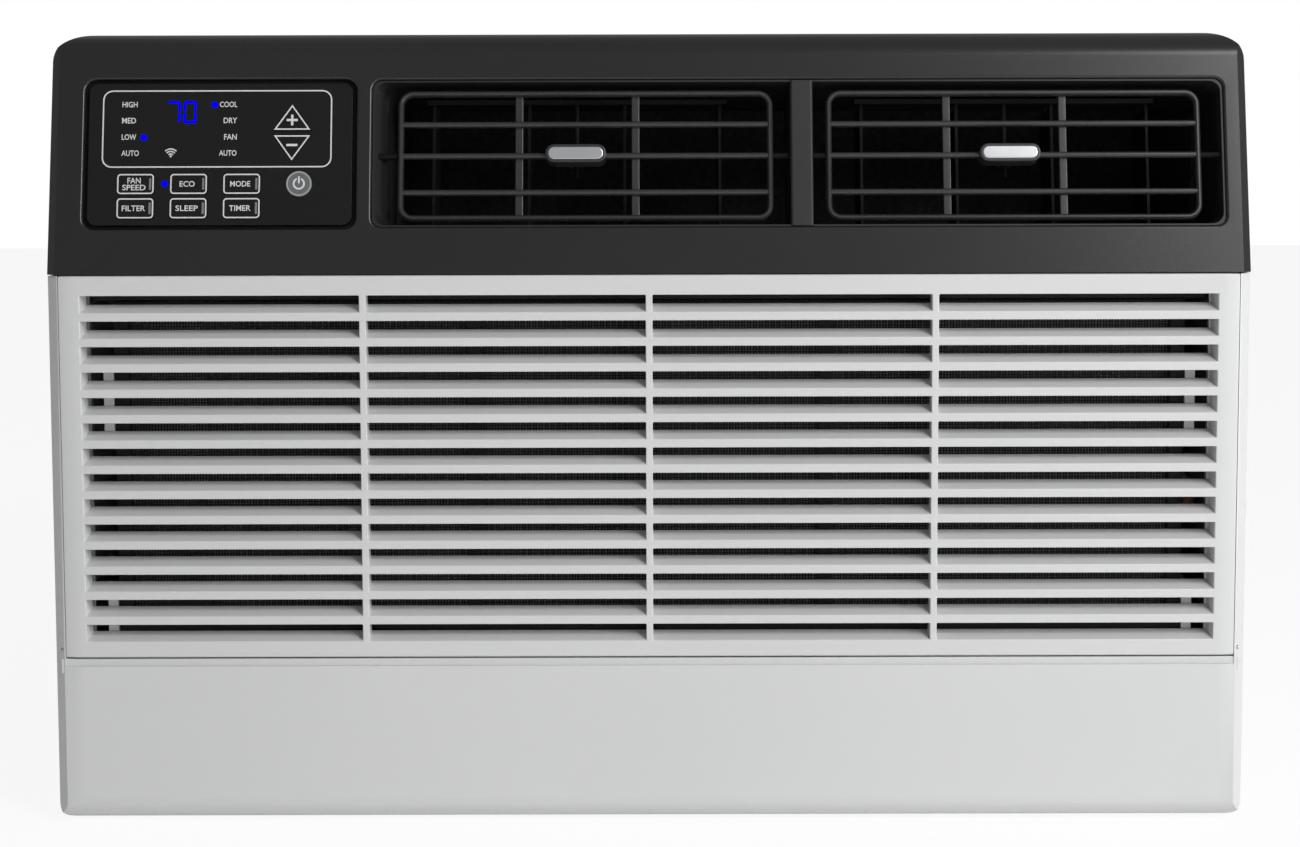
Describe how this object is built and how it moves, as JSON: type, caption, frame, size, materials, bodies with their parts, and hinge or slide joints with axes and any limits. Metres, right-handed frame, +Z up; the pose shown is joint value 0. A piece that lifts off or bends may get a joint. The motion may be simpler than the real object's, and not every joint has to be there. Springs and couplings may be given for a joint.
{
  "type": "window air conditioner",
  "caption": "Window air conditioner with a louvred hinged intake door, key panel, two steerable air outlets, and a sheet-steel case holding the complete cooling circuit.",
  "frame": {"origin": "middle of the base, on the plane the base pan rests on", "axes": "+X to the right seen from the room, +Y towards the outdoor end, +Z up; the louvred front faces -Y"},
  "size_m": [0.67, 0.65, 0.444],
  "materials": {
    "white_plastic": "moulded ABS, satin",
    "dark_plastic": "moulded ABS, charcoal, fine satin",
    "panel_black": "printed film over plastic",
    "key_black": "printed film key",
    "display_blue": "blue LED digits behind a dark window",
    "wire_grey": "moulded plastic grid, satin grey",
    "tab_silver": "silver-painted slider",
    "vane_black": "moulded plastic vane",
    "filter_black": "woven polypropylene screen",
    "case_paint": "powder-coated sheet steel",
    "zinc_steel": "galvanised sheet",
    "coil_fins": "fine pressed fins",
    "copper": "drawn copper tube",
    "white_foam": "expanded polystyrene",
    "black_paint": "black enamel",
    "rubber": "moulded rubber",
    "steel": "ground steel",
    "circuit_green": "circuit board",
    "fan_grey": "glass-filled plastic"
  },
  "bodies": {
    "chassis": {"front_frame": "white_plastic", "top_fascia": "dark_plastic", "grille_hinge_pin_left": "steel", "grille_hinge_pin_right": "steel", "control_panel": "panel_black", "control_board": "circuit_green", "display_module": "display_blue", "outlet_housing": "dark_plastic", "outer_case": "case_paint", "rear_grille": "case_paint", "base_pan": "zinc_steel", "bulkhead": "zinc_steel", "evaporator_coil": "coil_fins", "condenser_coil": "coil_fins", "blower_housing": "white_foam", "fan_motor": "black_paint", "fan_shroud": "black_paint", "compressor": "black_paint", "suction_accumulator": "black_paint", "discharge_tube": "copper", "suction_tube": "copper", "filter_drier": "copper", "capillary_tube": "copper", "run_capacitor": "zinc_steel", "compressor_grommet_1": "rubber", "compressor_grommet_2": "rubber", "compressor_grommet_3": "rubber"},
    "intake_door": {"intake_grille": "white_plastic", "filter_frame": "filter_black", "filter_mesh": "filter_black", "filter_clip_upper_left": "white_plastic", "filter_clip_upper_right": "white_plastic", "filter_clip_lower_left": "white_plastic", "filter_clip_lower_right": "white_plastic"},
    "rotor": {"motor_shaft": "steel", "blower_wheel": "fan_grey", "condenser_fan": "fan_grey"},
    "key_power": {"button_power": "key_black"},
    "key_fan_speed": {"button_fan_speed": "key_black"},
    "key_eco": {"button_eco": "key_black"},
    "key_mode": {"button_mode": "key_black"},
    "key_filter": {"button_filter": "key_black"},
    "key_sleep": {"button_sleep": "key_black"},
    "key_timer": {"button_timer": "key_black"},
    "key_up": {"button_up": "key_black"},
    "key_down": {"button_down": "key_black"},
    "deflector_left": {"louver_left": "wire_grey"},
    "tab_left": {"louver_tab_left": "tab_silver"},
    "link_left": {"vane_link_left": "vane_black"},
    "steering_vane_left_1": {"vane_left_1": "vane_black"},
    "steering_vane_left_2": {"vane_left_2": "vane_black"},
    "steering_vane_left_3": {"vane_left_3": "vane_black"},
    "steering_vane_left_4": {"vane_left_4": "vane_black"},
    "deflector_right": {"louver_right": "wire_grey"},
    "tab_right": {"louver_tab_right": "tab_silver"},
    "link_right": {"vane_link_right": "vane_black"},
    "steering_vane_right_1": {"vane_right_1": "vane_black"},
    "steering_vane_right_2": {"vane_right_2": "vane_black"},
    "steering_vane_right_3": {"vane_right_3": "vane_black"},
    "steering_vane_right_4": {"vane_right_4": "vane_black"}
  },
  "joints": [
    {"name": "intake_door_hinge", "type": "hinge", "parent": "chassis", "child": "intake_door", "pos_m": [0, -0.322, 0.0989], "axis": [1, 0, 0], "range_deg": [0, 80]},
    {"name": "rotor_spin", "type": "hinge", "parent": "chassis", "child": "rotor", "pos_m": [0.06, 0, 0.178], "axis": [0, 1, 0], "continuous": true},
    {"name": "press_power", "type": "slide", "parent": "chassis", "child": "key_power", "axis": [0, 0.9767, -0.2147], "range_m": [0, 0.0008], "stiffness_N_per_m": 600},
    {"name": "press_fan_speed", "type": "slide", "parent": "chassis", "child": "key_fan_speed", "axis": [0, 0.9767, -0.2147], "range_m": [0, 0.0008], "stiffness_N_per_m": 600},
    {"name": "press_eco", "type": "slide", "parent": "chassis", "child": "key_eco", "axis": [0, 0.9767, -0.2147], "range_m": [0, 0.0008], "stiffness_N_per_m": 600},
    {"name": "press_mode", "type": "slide", "parent": "chassis", "child": "key_mode", "axis": [0, 0.9767, -0.2147], "range_m": [0, 0.0008], "stiffness_N_per_m": 600},
    {"name": "press_filter", "type": "slide", "parent": "chassis", "child": "key_filter", "axis": [0, 0.9767, -0.2147], "range_m": [0, 0.0008], "stiffness_N_per_m": 600},
    {"name": "press_sleep", "type": "slide", "parent": "chassis", "child": "key_sleep", "axis": [0, 0.9767, -0.2147], "range_m": [0, 0.0008], "stiffness_N_per_m": 600},
    {"name": "press_timer", "type": "slide", "parent": "chassis", "child": "key_timer", "axis": [0, 0.9767, -0.2147], "range_m": [0, 0.0008], "stiffness_N_per_m": 600},
    {"name": "press_up", "type": "slide", "parent": "chassis", "child": "key_up", "axis": [0, 0.9767, -0.2147], "range_m": [0, 0.0008], "stiffness_N_per_m": 600},
    {"name": "press_down", "type": "slide", "parent": "chassis", "child": "key_down", "axis": [0, 0.9767, -0.2147], "range_m": [0, 0.0008], "stiffness_N_per_m": 600},
    {"name": "tilt_left", "type": "hinge", "parent": "chassis", "child": "deflector_left", "pos_m": [-0.0354, -0.30556, 0.37514], "axis": [1, 0, 0], "range_deg": [-15, 15]},
    {"name": "steer_left", "type": "slide", "parent": "deflector_left", "child": "tab_left", "axis": [1, 0, 0], "range_m": [-0.011, 0.011]},
    {"name": "link_slide_left", "type": "slide", "parent": "chassis", "child": "link_left", "axis": [1, 0, 0], "range_m": [-0.011, 0.011]},
    {"name": "vane_pivot_left_1", "type": "hinge", "parent": "chassis", "child": "steering_vane_left_1", "pos_m": [-0.1217, -0.26534, 0.36712], "axis": [0, 0.2147, 0.9767], "range_deg": [-30, 30]},
    {"name": "vane_pivot_left_2", "type": "hinge", "parent": "chassis", "child": "steering_vane_left_2", "pos_m": [-0.0677, -0.26534, 0.36712], "axis": [0, 0.2147, 0.9767], "range_deg": [-30, 30]},
    {"name": "vane_pivot_left_3", "type": "hinge", "parent": "chassis", "child": "steering_vane_left_3", "pos_m": [-0.0137, -0.26534, 0.36712], "axis": [0, 0.2147, 0.9767], "range_deg": [-30, 30]},
    {"name": "vane_pivot_left_4", "type": "hinge", "parent": "chassis", "child": "steering_vane_left_4", "pos_m": [0.0403, -0.26534, 0.36712], "axis": [0, 0.2147, 0.9767], "range_deg": [-30, 30]},
    {"name": "tilt_right", "type": "hinge", "parent": "chassis", "child": "deflector_right", "pos_m": [0.204, -0.30556, 0.37514], "axis": [1, 0, 0], "range_deg": [-15, 15]},
    {"name": "steer_right", "type": "slide", "parent": "deflector_right", "child": "tab_right", "axis": [1, 0, 0], "range_m": [-0.011, 0.011]},
    {"name": "link_slide_right", "type": "slide", "parent": "chassis", "child": "link_right", "axis": [1, 0, 0], "range_m": [-0.011, 0.011]},
    {"name": "vane_pivot_right_1", "type": "hinge", "parent": "chassis", "child": "steering_vane_right_1", "pos_m": [0.1206, -0.26534, 0.36712], "axis": [0, 0.2147, 0.9767], "range_deg": [-30, 30]},
    {"name": "vane_pivot_right_2", "type": "hinge", "parent": "chassis", "child": "steering_vane_right_2", "pos_m": [0.1746, -0.26534, 0.36712], "axis": [0, 0.2147, 0.9767], "range_deg": [-30, 30]},
    {"name": "vane_pivot_right_3", "type": "hinge", "parent": "chassis", "child": "steering_vane_right_3", "pos_m": [0.2286, -0.26534, 0.36712], "axis": [0, 0.2147, 0.9767], "range_deg": [-30, 30]},
    {"name": "vane_pivot_right_4", "type": "hinge", "parent": "chassis", "child": "steering_vane_right_4", "pos_m": [0.2826, -0.26534, 0.36712], "axis": [0, 0.2147, 0.9767], "range_deg": [-30, 30]}
  ],
  "couplings": [
    {"joint": "link_slide_left", "follows": "steer_left", "ratio": 1},
    {"joint": "vane_pivot_left_1", "follows": "steer_left", "rad_per_m": 47.595},
    {"joint": "vane_pivot_left_2", "follows": "steer_left", "rad_per_m": 47.595},
    {"joint": "vane_pivot_left_3", "follows": "steer_left", "rad_per_m": 47.595},
    {"joint": "vane_pivot_left_4", "follows": "steer_left", "rad_per_m": 47.595},
    {"joint": "link_slide_right", "follows": "steer_right", "ratio": 1},
    {"joint": "vane_pivot_right_1", "follows": "steer_right", "rad_per_m": 47.595},
    {"joint": "vane_pivot_right_2", "follows": "steer_right", "rad_per_m": 47.595},
    {"joint": "vane_pivot_right_3", "follows": "steer_right", "rad_per_m": 47.595},
    {"joint": "vane_pivot_right_4", "follows": "steer_right", "rad_per_m": 47.595}
  ]
}
